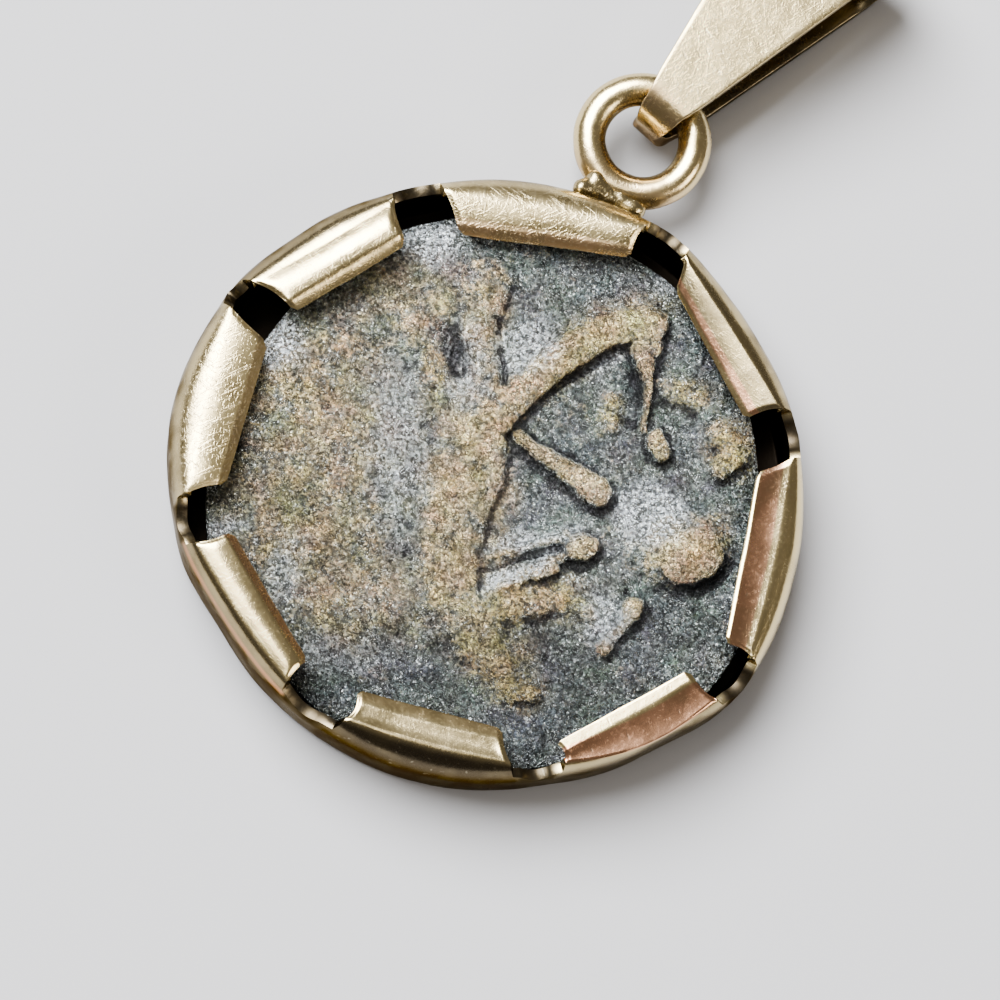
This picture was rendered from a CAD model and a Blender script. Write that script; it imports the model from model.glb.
# %% [markdown]
# # A worn coin in a folded gold bezel
#
# The pendant is a small old bronze coin. A goldsmith has stood a strip of gold sheet round it, folded eight
# tabs of that strip over its edge, and soldered a round jump ring to the outside. A tapered bail hangs loose
# in the ring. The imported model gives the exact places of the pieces. This lesson gives each piece its fine
# shape and its finish.

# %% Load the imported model
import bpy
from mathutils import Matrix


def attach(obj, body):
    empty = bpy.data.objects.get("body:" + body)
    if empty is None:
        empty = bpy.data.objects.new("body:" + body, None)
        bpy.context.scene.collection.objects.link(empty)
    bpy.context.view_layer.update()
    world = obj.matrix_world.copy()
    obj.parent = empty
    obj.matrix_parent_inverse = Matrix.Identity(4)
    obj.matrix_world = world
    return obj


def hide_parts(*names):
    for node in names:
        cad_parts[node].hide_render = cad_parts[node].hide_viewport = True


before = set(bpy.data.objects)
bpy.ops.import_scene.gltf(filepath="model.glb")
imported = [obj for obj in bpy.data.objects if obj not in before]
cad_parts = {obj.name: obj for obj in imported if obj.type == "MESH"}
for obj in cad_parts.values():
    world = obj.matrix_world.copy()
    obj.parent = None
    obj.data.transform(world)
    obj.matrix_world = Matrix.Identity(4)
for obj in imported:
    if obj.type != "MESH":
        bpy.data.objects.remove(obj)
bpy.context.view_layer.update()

import math
from collections import namedtuple

import bmesh
import bpy
import numpy as np
from mathutils import Matrix, Vector, noise

scene = bpy.context.scene
noise.seed_set(1)  # noise_vector starts from the clock otherwise, and each run would fray the coin in its own way
print("nodes in the packed model:", sorted(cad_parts))

# %% [markdown]
# ## Working in millimetres
# Jewellery is measured in millimetres and Blender works in metres. Every shape here is worked out in
# millimetres, and one helper brings the finished mesh down to metres. The same helper names the piece,
# smooths its shading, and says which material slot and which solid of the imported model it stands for.

# %% Helpers for points and pieces
MM = 0.001


def mix(a, b, share):
    return a + (b - a) * share


def clamp01(value):
    return min(1.0, max(0.0, value))


def ease(share):
    """Slow at both ends, as a cosine is."""
    return (1 - math.cos(math.pi * share)) / 2


def smooth01(value):
    """Cut off at 0 and 1, with a smooth climb between them."""
    value = clamp01(value)
    return value * value * (3 - 2 * value)


def polar(radius, degrees, z=0.0):
    """A point at a distance from the Z axis, turned from +X."""
    angle = math.radians(degrees)
    return Vector((radius * math.cos(angle), radius * math.sin(angle), z))


def knot_value(knots, position):
    """Value at a position between sorted (position, value) knots, eased from one knot to the next."""
    for (p1, v1), (p2, v2) in zip(knots, knots[1:]):
        if p1 <= position <= p2:
            return mix(v1, v2, ease((position - p1) / (p2 - p1)))
    return knots[-1][1]


def make_piece(bm, name, node, materials):
    """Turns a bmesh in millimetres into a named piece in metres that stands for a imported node."""
    bmesh.ops.transform(bm, matrix=Matrix.Scale(MM, 4), verts=bm.verts)
    mesh = bpy.data.meshes.new(name)
    bm.to_mesh(mesh)
    bm.free()
    for polygon in mesh.polygons:
        polygon.use_smooth = True
    for material in materials:
        mesh.materials.append(material)
    piece = bpy.data.objects.new(name, mesh)
    scene.collection.objects.link(piece)
    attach(piece, "root")
    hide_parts(node)
    print(f"{name}: {len(mesh.vertices)} vertices, {len(mesh.polygons)} faces")
    return piece


print("a quarter turn at radius 1 gives", [round(value, 3) for value in polar(1, 90)])

# %% [markdown]
# ## The camera
# The picture was taken from nearly straight above, leaning 12 degrees towards the side away from the ring.
# The camera is placed by those angles and a distance of 11 cm, with the long lens that gives the same frame.
# A long lens keeps the round band round.

# %% Place the camera
LENS_PIXELS = 3887.0       # focal length in pixels of the square picture
CAMERA_DISTANCE = 110.0    # millimetres from the point that the camera looks at
CAMERA_LEAN = 12.0         # degrees away from straight above
CAMERA_SIDE = -93.2        # direction it leans towards, in degrees from +X
CAMERA_ROLL = 23.8         # how far the picture's right side is turned from +X
CENTRE_PIXEL = (487, 485)  # where the middle of the band shows in the picture
AIM_HEIGHT = 1.2           # height of the point that the camera looks at
PICTURE = 1000             # side of the square picture in pixels
SENSOR = 36.0              # width of the camera's sensor

lean, side, roll = (math.radians(a) for a in (CAMERA_LEAN, CAMERA_SIDE, CAMERA_ROLL))
back = Vector((math.sin(lean) * math.cos(side), math.sin(lean) * math.sin(side), math.cos(lean)))
right = (-back).cross(Vector((-math.sin(roll), math.cos(roll), 0))).normalized()
up = right.cross(-back)
offset = (right * (CENTRE_PIXEL[0] - PICTURE / 2) - up * (CENTRE_PIXEL[1] - PICTURE / 2)) / LENS_PIXELS
eye = Vector((0, 0, AIM_HEIGHT)) - (offset - back) * CAMERA_DISTANCE

camera_data = bpy.data.cameras.new("camera")
camera_data.sensor_width = SENSOR
camera_data.lens = LENS_PIXELS / PICTURE * SENSOR
camera_data.clip_start = 0.005
camera_data.clip_end = 20
camera = bpy.data.objects.new("camera", camera_data)
turn = Matrix((right, up, back)).transposed().to_4x4()
camera.matrix_world = Matrix.Translation(eye * MM) @ turn
scene.collection.objects.link(camera)
scene.camera = camera
print("lens in mm:", round(camera_data.lens, 1))

# %% [markdown]
# ## The floor
# A plain pale floor shows the pendant's shadow and lights the metal from below. One large flat grid is
# enough. It is marked as stage, because it isn't part of the pendant.

# %% Lay the floor
FLOOR_HALF = 1.5
PALE_GREY = (0.56, 0.56, 0.57, 1)
floor_bm = bmesh.new()
bmesh.ops.create_grid(floor_bm, x_segments=2, y_segments=2, size=FLOOR_HALF)
floor_mesh = bpy.data.meshes.new("floor")
floor_bm.to_mesh(floor_mesh)
floor_bm.free()
floor = bpy.data.objects.new("floor", floor_mesh)
scene.collection.objects.link(floor)
floor_paint = bpy.data.materials.new("pale_floor")
floor_paint.use_nodes = True
floor_shader = floor_paint.node_tree.nodes["Principled BSDF"]
floor_shader.inputs["Base Color"].default_value = PALE_GREY
floor_shader.inputs["Roughness"].default_value = 0.9
floor_mesh.materials.append(floor_paint)
print("floor is", 2 * FLOOR_HALF, "m across")

# %% [markdown]
# ## Light
# Gold shows what is around it, so the lights shape it more than its colour does. A large soft light, like a
# window, stands on the upper left of the picture. Two weak ones fill the other sides, and the room stays dim
# so that the far sides of the folds can turn brown.

# %% Set the lights
ROOM_COLOUR = (0.95, 0.88, 0.8, 1)
ROOM_STRENGTH = 0.16


def soft_light(name, picture_angle, height_angle, distance, size, power, colour):
    """A round area light that faces the coin. Its direction is given as it shows in the picture."""
    data = bpy.data.lights.new(name, "AREA")
    data.shape = "DISK"
    data.size = size
    data.energy = power
    data.color = colour
    height = math.radians(height_angle)
    towards = polar(math.cos(height), picture_angle + CAMERA_ROLL, math.sin(height))
    light = bpy.data.objects.new(name, data)
    light.location = towards * distance
    light.rotation_mode = "QUATERNION"
    light.rotation_quaternion = towards.to_track_quat("Z", "Y")
    scene.collection.objects.link(light)


# angle in the picture, angle above the floor, distance and size in metres, power in watts, colour
soft_light("window", 128, 54, 0.5, 0.42, 7.2, (0.97, 0.98, 1.0))
soft_light("high_fill", 180, 80, 0.7, 0.3, 0.5, (1.0, 0.98, 0.95))
soft_light("low_fill", -30, 35, 0.6, 0.25, 0.8, (1.0, 0.93, 0.86))

world = bpy.data.worlds.new("room")
world.use_nodes = True
world.node_tree.nodes["Background"].inputs["Color"].default_value = ROOM_COLOUR
world.node_tree.nodes["Background"].inputs["Strength"].default_value = ROOM_STRENGTH
scene.world = world
scene.view_settings.view_transform = "AgX"
scene.view_settings.look = "AgX - Medium High Contrast"

# %% [markdown]
# ## Small helpers for materials
# A material is a graph of nodes, and each helper here adds one kind of node. A helper takes a plain number or
# the output of another node in the same place, so a graph reads like a sum. All patterns are read in object
# coordinates scaled to millimetres, so a scratch has its real length.

# %% Helpers for material nodes
def feed(tree, socket, value):
    """Links another node's output to a socket, or sets the socket to a plain value."""
    if isinstance(value, bpy.types.NodeSocket):
        tree.links.new(value, socket)
    else:
        socket.default_value = value


def add_node(tree, kind, settings=None, **sockets):
    """Adds a node. Settings are its properties; sockets go by name, or by number as _0, _1 and so on."""
    node = tree.nodes.new(kind)
    for name, value in (settings or {}).items():
        setattr(node, name, value)
    for name, value in sockets.items():
        socket = node.inputs[int(name[1:])] if name[0] == "_" else node.inputs[name.replace("_", " ")]
        feed(tree, socket, value)
    return node


def new_material(name):
    material = bpy.data.materials.new(name)
    material.use_nodes = True
    tree = material.node_tree
    return material, tree, tree.nodes["Principled BSDF"]


def in_millimetres(tree, turn=(0, 0, 0), stretch=(1, 1, 1)):
    """Object coordinates in millimetres, turned and then stretched along an axis."""
    place = add_node(tree, "ShaderNodeTexCoord")
    turned = add_node(tree, "ShaderNodeMapping", Vector=place.outputs["Object"], Rotation=turn,
                      Scale=(1 / MM, 1 / MM, 1 / MM))
    return add_node(tree, "ShaderNodeMapping", Vector=turned.outputs[0], Scale=stretch).outputs[0]


def noise_value(tree, place, scale, detail=3.0, roughness=0.5, distortion=0.0):
    """Cloudy noise round one half. The scale is how many lumps fit in a millimetre."""
    return add_node(tree, "ShaderNodeTexNoise", Vector=place, Scale=scale, Detail=detail,
                    Roughness=roughness, Distortion=distortion).outputs["Fac"]


def remap(tree, value, low, high, to_low=0.0, to_high=1.0):
    """Goes smoothly from to_low to to_high while the value goes from low to high."""
    settings = {"interpolation_type": "SMOOTHSTEP"}
    return add_node(tree, "ShaderNodeMapRange", settings, Value=value, From_Min=low, From_Max=high,
                    To_Min=to_low, To_Max=to_high).outputs[0]


def calculate(tree, operation, a, b=0.0):
    settings = {"operation": operation, "use_clamp": False}
    return add_node(tree, "ShaderNodeMath", settings, _0=a, _1=b).outputs[0]


def sum_of(tree, first, *others):
    for other in others:
        first = calculate(tree, "ADD", first, other)
    return first


def product_of(tree, first, *others):
    for other in others:
        first = calculate(tree, "MULTIPLY", first, other)
    return first


def blend_colour(tree, share, first, second, kind="MIX"):
    made = add_node(tree, "ShaderNodeMix", {"data_type": "RGBA", "blend_type": kind})
    for socket, value in ((made.inputs[0], share), (made.inputs[6], first), (made.inputs[7], second)):
        feed(tree, socket, value)
    return made.outputs[2]


def attribute(tree, name):
    """A number that the mesh keeps at each of its points."""
    return add_node(tree, "ShaderNodeAttribute", {"attribute_name": name}).outputs["Fac"]


def set_shader(tree, shader, **sockets):
    """Sets or links sockets of the shader, named with _ for a space."""
    for name, value in sockets.items():
        feed(tree, shader.inputs[name.replace("_", " ")], value)


def set_relief(tree, shader, relief, depth):
    """Bump, where a relief of 1 stands as high as the depth in millimetres."""
    bump = add_node(tree, "ShaderNodeBump", Strength=1.0, Distance=depth * MM, Height=relief)
    tree.links.new(bump.outputs[0], shader.inputs["Normal"])


print("patterns are scaled by", 1 / MM, "to read in millimetres")

# %% [markdown]
# ## Worked gold
# The gold is pale, of about 14 karat. Hand tools have left fine scratches that cross each other, and years of
# wear have browned the places that fingers don't polish. Four point attributes of the mesh say where the
# metal is brown, where it has the peach tint of heated alloy, where grime sits and where it is scratched. The
# scratches are stretched noise, in four directions, and go into colour, roughness and bump.

# %% Make the gold
PALE_GOLD = (0.80, 0.66, 0.37, 1)
BROWNED_GOLD = (0.135, 0.11, 0.075, 1)
HEATED_COPPER = (0.74, 0.43, 0.27, 1)
FRESH_SCRATCH = (0.9, 0.82, 0.62, 1)
OLD_GRIME = (0.02, 0.016, 0.012, 1)
PLAIN_GLOSS = (1, 1, 1, 1)
BROWN_GLOSS = (0.30, 0.25, 0.18, 1)
# direction in degrees, fineness and length of each set of scratches
FINE_SCRATCHES = ((20, 17, 16), (75, 19, 22), (131, 17, 16))
DEEP_SCRATCHES = (52, 6, 30)
SCRATCH_TILT = (0.35, 0.2)  # turn about X and Y in radians
GOLD_RELIEF = 0.01          # height of the bump in millimetres
GRIME_INSIDE = 0.5


def scratches(tree, degrees, fineness, length):
    """Fine straight scratches that run in one direction, as a value round one half."""
    place = in_millimetres(tree, turn=(*SCRATCH_TILT, math.radians(degrees)), stretch=(1 / length, 1, 1))
    return noise_value(tree, place, fineness, detail=1.0)


def gold_material(name, grime_everywhere=0.0):
    material, tree, shader = new_material(name)
    place = in_millimetres(tree)
    cloud = noise_value(tree, place, 0.9)
    speck = noise_value(tree, place, 11.0, detail=2.0)
    fine = [remap(tree, scratches(tree, *row), 0.57, 0.68) for row in FINE_SCRATCHES]
    deep = remap(tree, scratches(tree, *DEEP_SCRATCHES), 0.68, 0.76)
    scratched = attribute(tree, "scratched")
    brushed = product_of(tree, sum_of(tree, *fine), sum_of(tree, scratched, 0.1))

    brown = sum_of(tree, attribute(tree, "brown"), remap(tree, cloud, 0.4, 0.7, -0.08, 0.12))
    toned = blend_colour(tree, remap(tree, brown, 0.0, 1.0), PALE_GOLD, BROWNED_GOLD)
    copper = product_of(tree, attribute(tree, "peach"), remap(tree, cloud, 0.3, 0.55, 0.7, 1.0))
    tinted = blend_colour(tree, remap(tree, copper, 0.0, 1.0), toned, HEATED_COPPER)
    shiny = sum_of(tree, product_of(tree, deep, 0.2), product_of(tree, brushed, 0.15))
    worn = blend_colour(tree, shiny, tinted, FRESH_SCRATCH)
    grime = sum_of(tree, attribute(tree, "grime"), grime_everywhere)
    dirty = blend_colour(tree, remap(tree, grime, 0.1, 0.9), worn, OLD_GRIME)
    gloss = blend_colour(tree, remap(tree, brown, 0.2, 1.0), PLAIN_GLOSS, BROWN_GLOSS)

    rough = sum_of(tree, remap(tree, cloud, 0.3, 0.7, 0.18, 0.27), product_of(tree, scratched, 0.07))
    rough = sum_of(tree, rough, remap(tree, speck, 0.5, 0.75, 0.0, 0.06), product_of(tree, grime, 0.3))
    raised = sum_of(tree, product_of(tree, brushed, 0.3), product_of(tree, speck, 0.12))
    relief = calculate(tree, "SUBTRACT", raised, product_of(tree, deep, 0.15))
    set_shader(tree, shader, Base_Color=dirty, Specular_Tint=gloss, Roughness=rough, Metallic=1.0)
    set_relief(tree, shader, sum_of(tree, relief, product_of(tree, cloud, 2.0)), GOLD_RELIEF)
    return material


gold = gold_material("worked_gold")
hidden_gold = gold_material("grimy_gold_inside", GRIME_INSIDE)
print("gold made with", len(gold.node_tree.nodes), "nodes")

# %% [markdown]
# ## The band and its eight tabs
# On the real pendant one strip of sheet makes the back lip, the band and the tabs. Each tab was pressed over
# by hand, so no two are alike. The strip could be modelled flat and bent, but it is simpler to start from a
# flat grid and move each of its points to its place: one direction of the grid runs round the coin, and the
# other runs from the lip under the coin, up the band, over the fold and down to the tab's inner edge. A table
# with a row for each tab holds what makes it different.

# %% Describe the tabs
# begin and end are directions in degrees. The band swells by swell_mid at the tab's middle and by swell_end
# in the gap after it. At its two ends the inner edge lies reach millimetres inside the band and turn degrees
# further in. crown_z is the height of the fold, bow curves it outwards, and roll makes it round.
Tab = namedtuple("Tab", "begin end swell_mid swell_end reach_begin reach_end turn_begin turn_end "
                        "crown_z bow roll")
tabs = [
    Tab(81, 124.5, -0.05, -0.2, 1.35, 1.85, 1, 3, 2.95, 0.1, 0.45),
    Tab(132, 167.5, 0, 0.2, 1.9, 1.7, 2.5, 2.5, 3.0, 0, 0.65),
    Tab(171, 210, 0.3, 0.05, 1.6, 1.4, 3, 3, 3.1, 0.1, 0.8),
    Tab(217, 251, -0.3, -0.3, 1.4, 1.45, 0.5, 1, 3.05, 0.1, 0.85),
    Tab(260, 299, -0.25, -0.25, 1.7, 1.7, 2.5, 3, 2.95, 0.1, 0.35),
    Tab(306, 340.5, -0.05, 0.4, 1.1, 1.1, 1, 1.5, 2.85, 0.55, 0.4),
    Tab(347.5, 389, 0.2, 0.05, 0.85, 1.4, 0.5, 4, 2.95, 0.15, 0.9),
    Tab(396, 434.5, -0.1, 0, 1.45, 1.3, 1.5, 4.5, 2.95, 0.05, 0.3),
]
BAND_R = 8.835    # outside of the band
SHEET_T = 0.3     # thickness of the sheet
SHOULDER_Z = 1.7  # height at which the wall starts to fold
LIP_W = 1.6       # width of the back lip
BEND_R = 0.4      # bend between the lip and the wall
FOLD_IN = 0.4     # how far inside the wall the fold ends


def gap_middle(k):
    """Direction of the middle of the gap after tab k."""
    following = tabs[(k + 1) % len(tabs)].begin + (360 if k + 1 == len(tabs) else 0)
    return (tabs[k].end + following) / 2


swell_knots = sorted(
    (angle + full_turn, swell)
    for full_turn in (-360, 0, 360)
    for k, tab in enumerate(tabs)
    for angle, swell in (((tab.begin + tab.end) / 2, tab.swell_mid), (gap_middle(k), tab.swell_end)))


def band_radius(degrees):
    """Outside of the uneven band in one direction."""
    return BAND_R + knot_value(swell_knots, degrees)


print("band radius beside the ring:", round(band_radius(90), 2), "mm")

# %% [markdown]
# ### One cut through the sheet
# Each column of the grid is one cut through the sheet. Every column has the same rows: the flat lip, the
# bend, the straight wall and the rim. A tab's column goes on over the shoulder and the fold to the inner
# edge. The shoulder is a curve drawn by three points, whose middle one decides whether the fold is a crease
# or a roll.

# %% Cut through the sheet at any angle
LIP_ROWS, BEND_ROWS, WALL_ROWS, RIM_ROWS, SHOULDER_ROWS, FACET_ROWS = 3, 5, 6, 6, 12, 22


def curve(a, b, c, share):
    """A curve from a to c that is drawn towards b."""
    return a * (1 - share) ** 2 + b * 2 * share * (1 - share) + c * share ** 2


def root_rows(degrees):
    """Lip, bend and wall, from under the coin up to the shoulder."""
    r = band_radius(degrees)
    rows = [polar(mix(r - LIP_W, r - BEND_R, i / LIP_ROWS), degrees, 0) for i in range(LIP_ROWS)]
    for i in range(BEND_ROWS):
        bend = math.radians(90 * i / BEND_ROWS)
        rows.append(polar(r - BEND_R * (1 - math.sin(bend)), degrees, BEND_R * (1 - math.cos(bend))))
    rows += [polar(r, degrees, mix(BEND_R, SHOULDER_Z, i / WALL_ROWS)) for i in range(WALL_ROWS)]
    return rows


print("rows under the shoulder:", len(root_rows(0)))

# %% [markdown]
# ### Small differences between the tabs
# The filed inner edge, the slope of the top and the curved ends differ from tab to tab too. They are small,
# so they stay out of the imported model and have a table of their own: the width and the drop of the filed edge
# and how round it is, the fall and the bulge of the top, and how far the two cut ends are hollowed.

# %% Finer shape of the tabs
Shape = namedtuple("Shape", "filed drop roundness fall bulge hollow_begin hollow_end")
shapes = [
    Shape(0.36, 0.24, 2.0, 0.10, 0.03, 0.05, 0.03),
    Shape(0.40, 0.26, 1.5, -0.20, 0.10, 0.05, 0.07),
    Shape(0.28, 0.24, 1.0, 0.10, 0.03, 0.03, 0.04),
    Shape(0.26, 0.22, 1.0, 0.02, 0.05, 0.04, 0.03),
    Shape(0.42, 0.16, 1.2, 0.10, -0.04, 0.10, 0.05),
    Shape(0.34, 0.04, 1.0, -0.06, -0.02, 0.06, 0.06),
    Shape(0.10, 0.05, 1.0, -0.06, -0.03, 0.04, 0.03),
    Shape(0.14, 0.10, 1.0, 0.22, 0.00, 0.05, 0.04),
]
print("widest filed edge:", max(shape.filed for shape in shapes), "mm")

# %% [markdown]
# ### From the tables to points
# A point of a tab is found from two numbers: how far along the tab it is, from one cut end to the other, and
# how far in it is, from the wall to the inner edge. The sheet in a gap follows its two neighbours a little
# way and ends at the sawn rim.

# %% Points of a tab
CORNER = 0.035        # share of a tab's width that a worn corner takes
CORNER_BACK = 0.12    # how far a corner is worn back, as a share of the top
CORNER_DROP = 0.05    # how far a corner is bent down
SHOULDER_SHARE = 0.4  # share of a cut end's length that lies on the shoulder
CREASE = 0.75         # height of the shoulder's middle point for a crease, where 1 gives a round roll
BULGE_ENDS = 0.12     # share of a tab's width over which the bulge of its top fades
TOP_FALL = 1.3        # power by which the top falls towards the inner edge
SAWN_DEPTH = 0.25     # how deep the saw went in the middle of a gap
STANDS_BACK = 0.85    # share of its neighbours' fold that the sheet lacks in the middle of a gap


def end_shift(shape, u, travel):
    """Moves the cut ends of a tab into it, most halfway between the rim and the inner edge."""
    hollow = math.sin(math.pi * travel)
    return shape.hollow_begin * hollow * (1 - u) ** 4 - shape.hollow_end * hollow * u ** 4


def tab_frame(tab, shape, u, travel):
    """Wall, fold and inner edge points of a tab's column."""
    u = u + end_shift(shape, u, travel)
    degrees = mix(tab.begin, tab.end, u)
    wall = polar(band_radius(degrees), degrees)
    fold = mix(polar(band_radius(tab.begin) - FOLD_IN, tab.begin),
               polar(band_radius(tab.end) - FOLD_IN, tab.end), u)
    fold += fold.normalized() * tab.bow * math.sin(math.pi * u)
    edge = mix(polar(BAND_R - tab.reach_begin, tab.begin + tab.turn_begin),
               polar(BAND_R - tab.reach_end, tab.end - tab.turn_end), u)
    return wall, fold, edge


def shoulder_point(tab, shape, u, share):
    """A point between the wall and the fold."""
    wall, fold, _ = tab_frame(tab, shape, u, share * SHOULDER_SHARE)
    arrive = mix(SHOULDER_Z, tab.crown_z, mix(CREASE, 1, tab.roll))
    lift = Vector((0, 0, 1))
    return curve(wall + lift * SHOULDER_Z, wall + lift * arrive, fold + lift * tab.crown_z, share)


def facet_point(tab, shape, u, share):
    """A point of the tab's top, between the fold and the inner edge."""
    near_end = min(u, 1 - u)
    back = CORNER_BACK * (1 - smooth01(near_end / CORNER)) * share
    share = share * (1 - back)
    _, fold, edge = tab_frame(tab, shape, u, SHOULDER_SHARE + (1 - SHOULDER_SHARE) * share)
    point = mix(fold, edge, share)
    begins = 1 - shape.filed / (edge - fold).length
    top = min(1.0, share / begins)
    filed = max(0.0, (share - begins) / (1 - begins))
    bulge = shape.bulge * math.sin(math.pi * top) * smooth01(near_end / BULGE_ENDS + 0.3)
    bent_down = CORNER_DROP * (1 - smooth01(near_end / CORNER))
    height = tab.crown_z - shape.fall * top ** TOP_FALL + bulge
    point.z = height - shape.drop * filed ** shape.roundness - bent_down
    return point


crowns = [facet_point(tab, shape, 0.5, 0).z for tab, shape in zip(tabs, shapes)]
print("height of the folds in mm:", [round(crown, 2) for crown in crowns])

# %% Columns of the tabs and the gaps
def tab_column(k, u):
    """All rows of one cut through a tab."""
    tab, shape = tabs[k], shapes[k]
    rows = root_rows(mix(tab.begin, tab.end, u))
    rows += [shoulder_point(tab, shape, u, i / SHOULDER_ROWS) for i in range(SHOULDER_ROWS)]
    rows += [facet_point(tab, shape, u, i / FACET_ROWS) for i in range(FACET_ROWS + 1)]
    return rows


def gap_column(k, w):
    """A cut between two tabs: the sheet starts to fold as its neighbours do, then ends at the sawn rim."""
    following = (k + 1) % len(tabs)
    begin = tabs[k].end
    end = tabs[following].begin + (360 if following == 0 else 0)
    degrees = mix(begin, end, w)
    r = band_radius(degrees)
    rows = root_rows(degrees)
    for i in range(RIM_ROWS + 1):
        share = i / SHOULDER_ROWS
        before = shoulder_point(tabs[k], shapes[k], 1, share)
        after = shoulder_point(tabs[following], shapes[following], 0, share)
        inwards = mix(band_radius(begin) - before.to_2d().length, band_radius(end) - after.to_2d().length, w)
        height = mix(before.z, after.z, w)
        sawn = SAWN_DEPTH * math.sin(math.pi * w) * (i / RIM_ROWS) * smooth01(min(w, 1 - w) * 8)
        stands = r - inwards * (1 - STANDS_BACK * math.sin(math.pi * w))
        rows.append(polar(stands, degrees, height - sawn))
    return rows


RIM_ROW = LIP_ROWS + BEND_ROWS + WALL_ROWS + RIM_ROWS
ROWS = LIP_ROWS + BEND_ROWS + WALL_ROWS + SHOULDER_ROWS + FACET_ROWS + 1
print("rows in a column:", ROWS, "and the rim is row", RIM_ROW)

# %% [markdown]
# ### Tones of the tabs
# The picture shows some tabs pale and scratched and others brown and smooth. This small table says how brown
# each tab is on its outer wall, on its shoulder, on its top and on its filed edge, and how much copper shows
# in the same places.

# %% Tone table
# band is the width in millimetres of the copper band beside the filed edge
Tone = namedtuple("Tone", "wall shoulder top filed copper_wall copper_top copper_filed band scratched")
tones = [
    Tone(0.75, 0.35, 0.05, 0.15, 0.0, 0.4, 0.5, 0.2, 0.8),
    Tone(0.85, 0.70, 0.10, 0.25, 0.0, 0.0, 0.1, 0.0, 0.2),
    Tone(0.80, 0.45, 0.05, 0.45, 0.0, 0.0, 0.2, 0.0, 1.0),
    Tone(0.90, 0.60, 0.00, 0.45, 1.0, 0.0, 0.5, 0.0, 0.1),
    Tone(0.95, 0.90, 0.35, 0.05, 0.0, 0.0, 0.2, 0.0, 0.0),
    Tone(0.80, 0.50, 0.15, 0.15, 0.1, 1.0, 0.0, 1.2, 0.0),
    Tone(0.70, 0.15, 0.30, 0.00, 0.1, 0.9, 0.0, 0.6, 0.1),
    Tone(0.80, 0.45, 0.50, 0.10, 0.1, 0.9, 0.1, 0.3, 0.1),
]
WALL_END = LIP_ROWS + BEND_ROWS + WALL_ROWS
STRIPE_AT, STRIPE_HALF = 0.38, 0.16  # place and half width of the copper stripe on the shoulder
FILED_BLUR = 0.08                    # width over which the top's tone meets the filed edge's
BAND_BLUR = 0.1                      # width over which the copper band on the top begins


def tone_at(k, row):
    """Brown and copper shares of tab k at a row of the grid."""
    tone, shape, tab = tones[k], shapes[k], tabs[k]
    width = (tab.reach_begin + tab.reach_end) / 2 - FOLD_IN + tab.bow / 2
    over = clamp01((row - WALL_END) / SHOULDER_ROWS)
    inwards = clamp01((row - WALL_END - SHOULDER_ROWS) / FACET_ROWS) * width
    filed_begins = width - shape.filed
    filed = smooth01((inwards - filed_begins) / FILED_BLUR + 0.5)
    on_shoulder = smooth01(over * 1.5)
    on_top = smooth01((over - 0.8) / 0.2)
    brown = mix(mix(mix(tone.wall, tone.shoulder, on_shoulder), tone.top, on_top), tone.filed, filed)
    stripe = tone.copper_wall * (1 - smooth01(abs(over - STRIPE_AT) / STRIPE_HALF))
    band = 0.0
    if tone.band:
        band = tone.copper_top * smooth01((inwards - filed_begins + tone.band) / BAND_BLUR)
    return brown, mix(mix(stripe, band, on_top), tone.copper_filed, filed)


print("brown and copper at the inner edge of the lower left tab:",
      [round(share, 2) for share in tone_at(3, ROWS - 1)])

# %% [markdown]
# ### Bend the grid into the bezel
# The grid starts as one flat sheet with a column of cells for every step round the coin. The cells above the
# rim in the gaps are deleted, as the saw took them away. After the points are moved, the first and the last
# column meet and are merged. Every point is also dented a little and keeps its tones.

# %% Work out the columns
TAB_COLUMNS, GAP_COLUMNS = 56, 14
PART_COLUMNS = TAB_COLUMNS + GAP_COLUMNS
COLUMNS = PART_COLUMNS * len(tabs)
CROWDED = 0.7  # how far a tab's columns crowd towards its two ends


def sheet_column(i):
    k, step = divmod(i % COLUMNS, PART_COLUMNS)
    if step <= TAB_COLUMNS:
        return tab_column(k, mix(step / TAB_COLUMNS, ease(step / TAB_COLUMNS), CROWDED))
    rows = gap_column(k, (step - TAB_COLUMNS) / GAP_COLUMNS)
    return rows + [rows[-1]] * (ROWS - len(rows))


columns = [sheet_column(i) for i in range(COLUMNS)]
print("columns round the coin:", len(columns))

# %% Start the flat sheet and saw out the gaps
def tone_layers(bm):
    """One number at each point for each attribute that the gold reads."""
    return {name: bm.verts.layers.float.new(name) for name in ("brown", "peach", "grime", "scratched")}


def grid_place(vertex):
    return round((vertex.co.x + 1) / 2 * COLUMNS), round((vertex.co.y + 1) / 2 * (ROWS - 1))


sheet = bmesh.new()
bmesh.ops.create_grid(sheet, x_segments=COLUMNS, y_segments=ROWS - 1, size=1)
sheet_tones = tone_layers(sheet)
thickness_layer = sheet.verts.layers.deform.verify()
cell_place = {vertex: grid_place(vertex) for vertex in sheet.verts}
for face in list(sheet.faces):
    i = min(cell_place[v][0] for v in face.verts)
    j = min(cell_place[v][1] for v in face.verts)
    if j >= RIM_ROW and i % PART_COLUMNS >= TAB_COLUMNS:
        sheet.faces.remove(face)
for vertex in [v for v in sheet.verts if not v.link_faces]:
    sheet.verts.remove(vertex)
print("cells left in the sheet:", len(sheet.faces))

# %% Bend the sheet
MERGE_DISTANCE = 0.0005
FILED_THICKNESS = 0.4  # share of the sheet's thickness that the file left at the inner edge
WALL_GRIME, FOOT_GRIME, GAP_GRIME = 0.28, 0.15, 0.55
FOOT_H = 0.7           # height up to which the foot of the band is grimy
GAP_TONE = (0.85, 0.0)  # brown and copper of the sawn rims


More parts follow.
